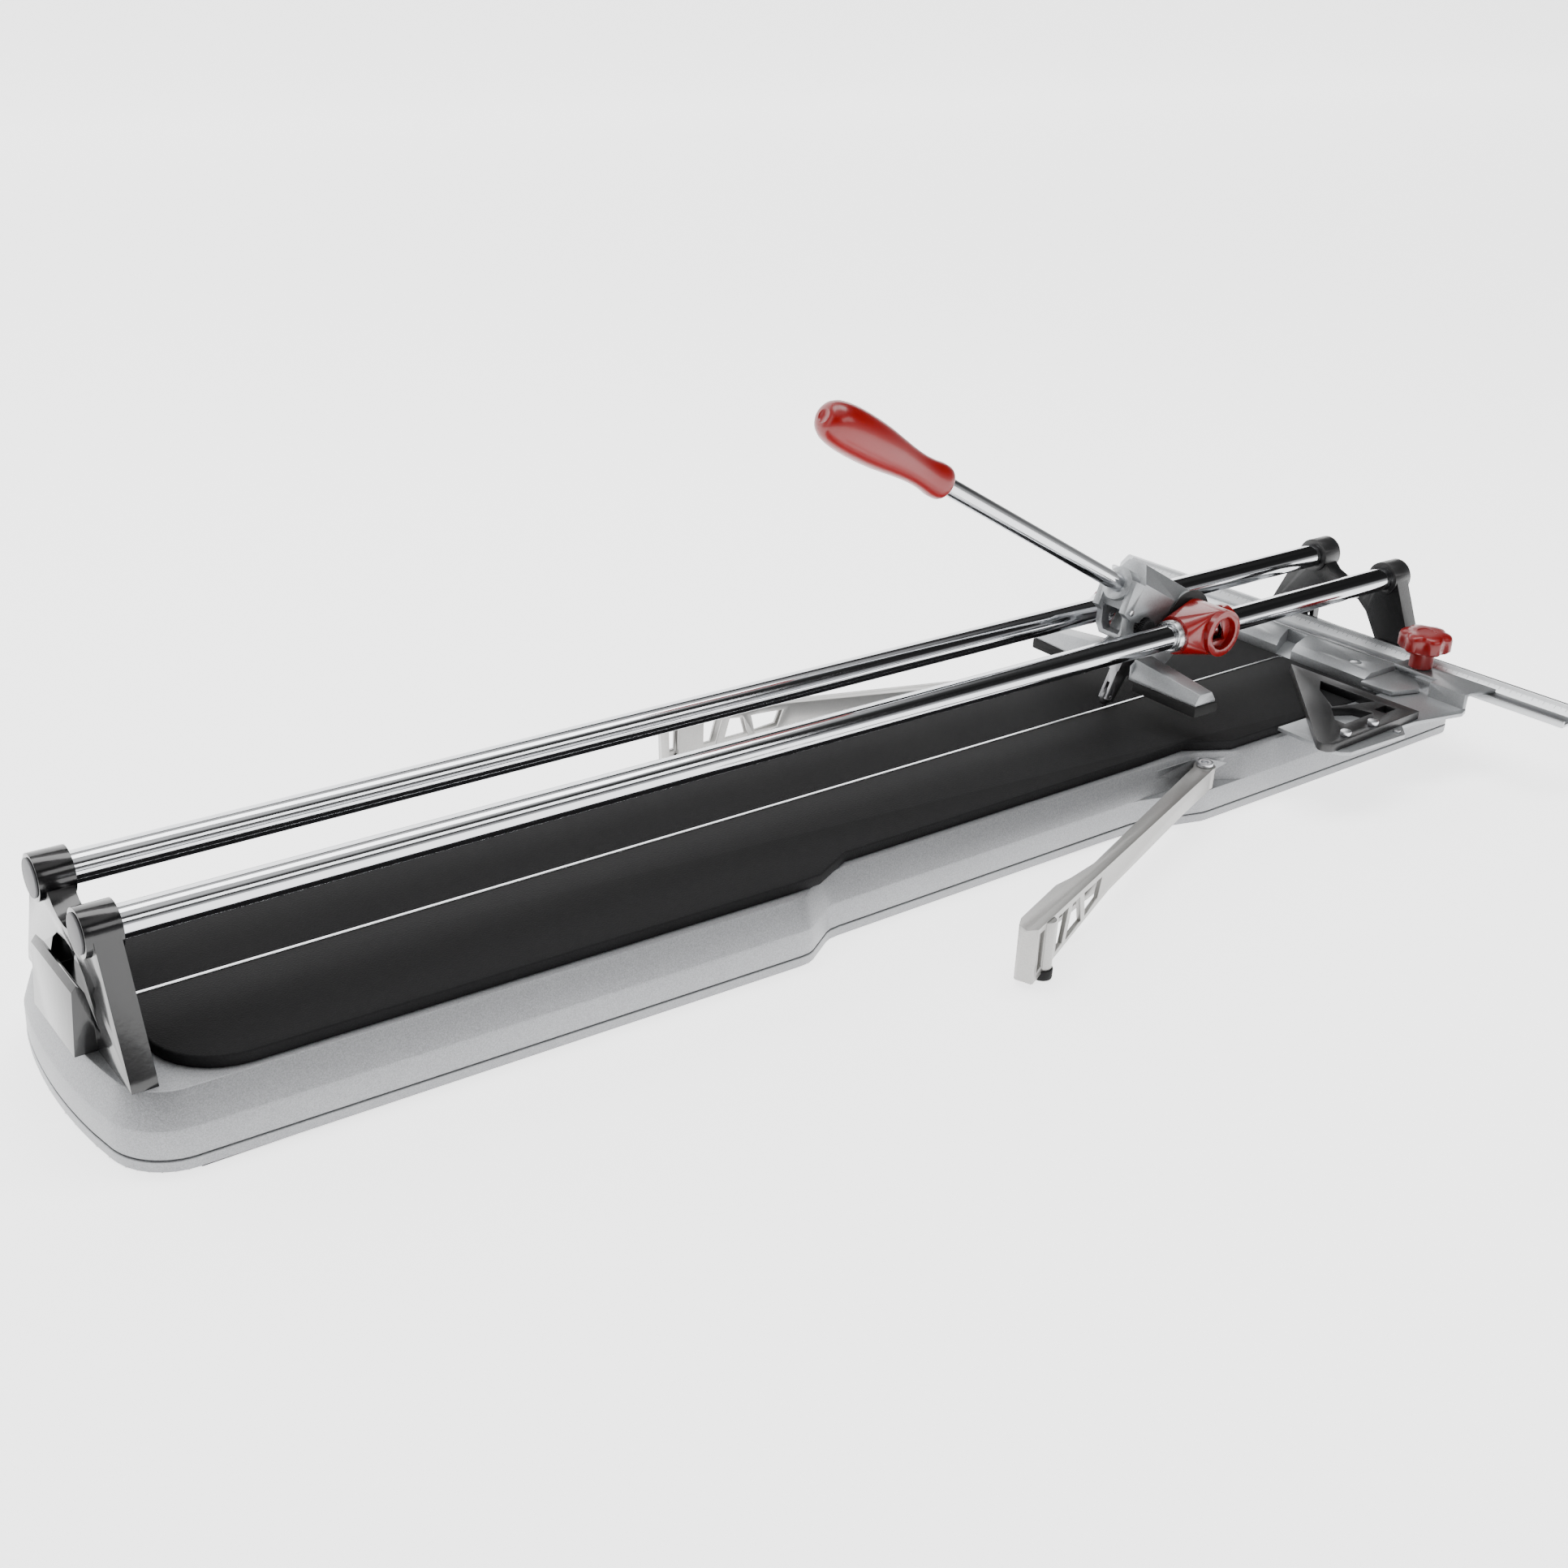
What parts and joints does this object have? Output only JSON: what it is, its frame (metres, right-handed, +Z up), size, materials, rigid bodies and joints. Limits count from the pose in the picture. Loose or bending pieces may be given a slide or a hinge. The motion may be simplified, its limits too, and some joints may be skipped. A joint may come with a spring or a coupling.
{
  "type": "tile cutter",
  "caption": "Long manual tile cutter with chromed rails, a sliding scoring lever with breaker, an angled ruler fence and fold-out support arms.",
  "frame": {"origin": "on the floor, on the break line, half way along the free rails, at the base's centre foot", "axes": "+X along the rails towards the fence, +Y towards the back long side, +Z up"},
  "size_m": [1.18, 0.4767, 0.3431],
  "materials": {
    "base_casting": "sparkling silver powder coat",
    "rubber_feet": "matte",
    "front_pad": "matte foam",
    "back_pad": "matte foam",
    "break_strip": "bright",
    "near_bracket": "gloss black enamel",
    "far_bracket": "satin black",
    "bracket_screws": "zinc plated",
    "rail_caps": "satin",
    "front_rail": "polished",
    "back_rail": "polished",
    "fence_casting": "satin silver",
    "fence_screws": "zinc plated",
    "fence_end": "satin silver",
    "ruler_track": "satin anodised",
    "ruler_band": "satin anodised",
    "ruler_screws": "zinc plated",
    "arm_pivot_screws": "zinc plated",
    "front_arm": "die cast, satin",
    "front_arm_foot": "matte",
    "back_arm": "die cast, satin",
    "back_arm_foot": "matte",
    "front_slider": "gloss red enamel",
    "back_slider": "gloss red enamel",
    "slider_bushes": "bright",
    "cross_axle": "bright",
    "hub_washers": "satin",
    "lever_head": "satin silver",
    "head_pin": "bright",
    "lever_rod": "polished",
    "handle_grip": "gloss",
    "wheel_holder": "bright",
    "holder_screw": "knurled",
    "scoring_wheel": "ground carbide",
    "wheel_axle": "bright",
    "breaker_casting": "satin silver",
    "breaker_pads": "matte",
    "breaker_magnets": "nickel plated",
    "stop_carrier": "satin silver",
    "corner_stop": "satin black",
    "stop_screws": "zinc plated",
    "lock_knob": "gloss",
    "knob_stud": "zinc plated"
  },
  "bodies": {
    "frame": {"base_casting": "base_casting", "rubber_feet": "rubber_feet", "front_pad": "front_pad", "back_pad": "back_pad", "break_strip": "break_strip", "near_bracket": "near_bracket", "far_bracket": "far_bracket", "bracket_screws": "bracket_screws", "rail_caps": "rail_caps", "front_rail": "front_rail", "back_rail": "back_rail", "fence_casting": "fence_casting", "fence_end": "fence_end", "fence_screws": "fence_screws", "ruler_track": "ruler_track", "ruler_band": "ruler_band", "ruler_screws": "ruler_screws", "arm_pivot_screws": "arm_pivot_screws"},
    "carriage": {"front_slider": "front_slider", "back_slider": "back_slider", "slider_bushes": "slider_bushes", "cross_axle": "cross_axle", "hub_washers": "hub_washers"},
    "lever": {"lever_head": "lever_head", "head_pin": "head_pin", "lever_rod": "lever_rod", "handle_grip": "handle_grip", "wheel_holder": "wheel_holder", "holder_screw": "holder_screw", "wheel_axle": "wheel_axle"},
    "wheel": {"scoring_wheel": "scoring_wheel"},
    "breaker": {"breaker_casting": "breaker_casting", "breaker_pads": "breaker_pads", "breaker_magnets": "breaker_magnets"},
    "stop": {"stop_carrier": "stop_carrier", "corner_stop": "corner_stop", "stop_screws": "stop_screws"},
    "knob": {"lock_knob": "lock_knob", "knob_stud": "knob_stud"},
    "front_arm": {"front_arm": "front_arm", "front_arm_foot": "front_arm_foot"},
    "back_arm": {"back_arm": "back_arm", "back_arm_foot": "back_arm_foot"}
  },
  "joints": [
    {"name": "carriage_slide", "type": "slide", "parent": "frame", "child": "carriage", "axis": [1, 0, 0], "range_m": [-0.8, 0.2]},
    {"name": "lever_hinge", "type": "hinge", "parent": "carriage", "child": "lever", "pos_m": [0.326, 0, 0.1256], "axis": [0, 1, 0], "range_deg": [0, 65]},
    {"name": "wheel_spin", "type": "hinge", "parent": "lever", "child": "wheel", "pos_m": [0.26103, 0, 0.06614], "axis": [0, 1, 0], "continuous": true},
    {"name": "breaker_hinge", "type": "hinge", "parent": "carriage", "child": "breaker", "pos_m": [0.326, 0, 0.1256], "axis": [0, 1, 0], "range_deg": [-19, 0]},
    {"name": "stop_slide", "type": "slide", "parent": "frame", "child": "stop", "axis": [0.0541, -0.9985, 0], "range_m": [0, 0.06]},
    {"name": "knob_turn", "type": "hinge", "parent": "stop", "child": "knob", "pos_m": [0.537, -0.104, 0.076], "axis": [0, 0, 1], "continuous": true},
    {"name": "front_arm_hinge", "type": "hinge", "parent": "frame", "child": "front_arm", "pos_m": [0.262, -0.107, 0.04], "axis": [0, 0, 1], "range_deg": [-18, 68]},
    {"name": "back_arm_hinge", "type": "hinge", "parent": "frame", "child": "back_arm", "pos_m": [0.262, 0.107, 0.04], "axis": [0, 0, -1], "range_deg": [-15, 72]}
  ]
}
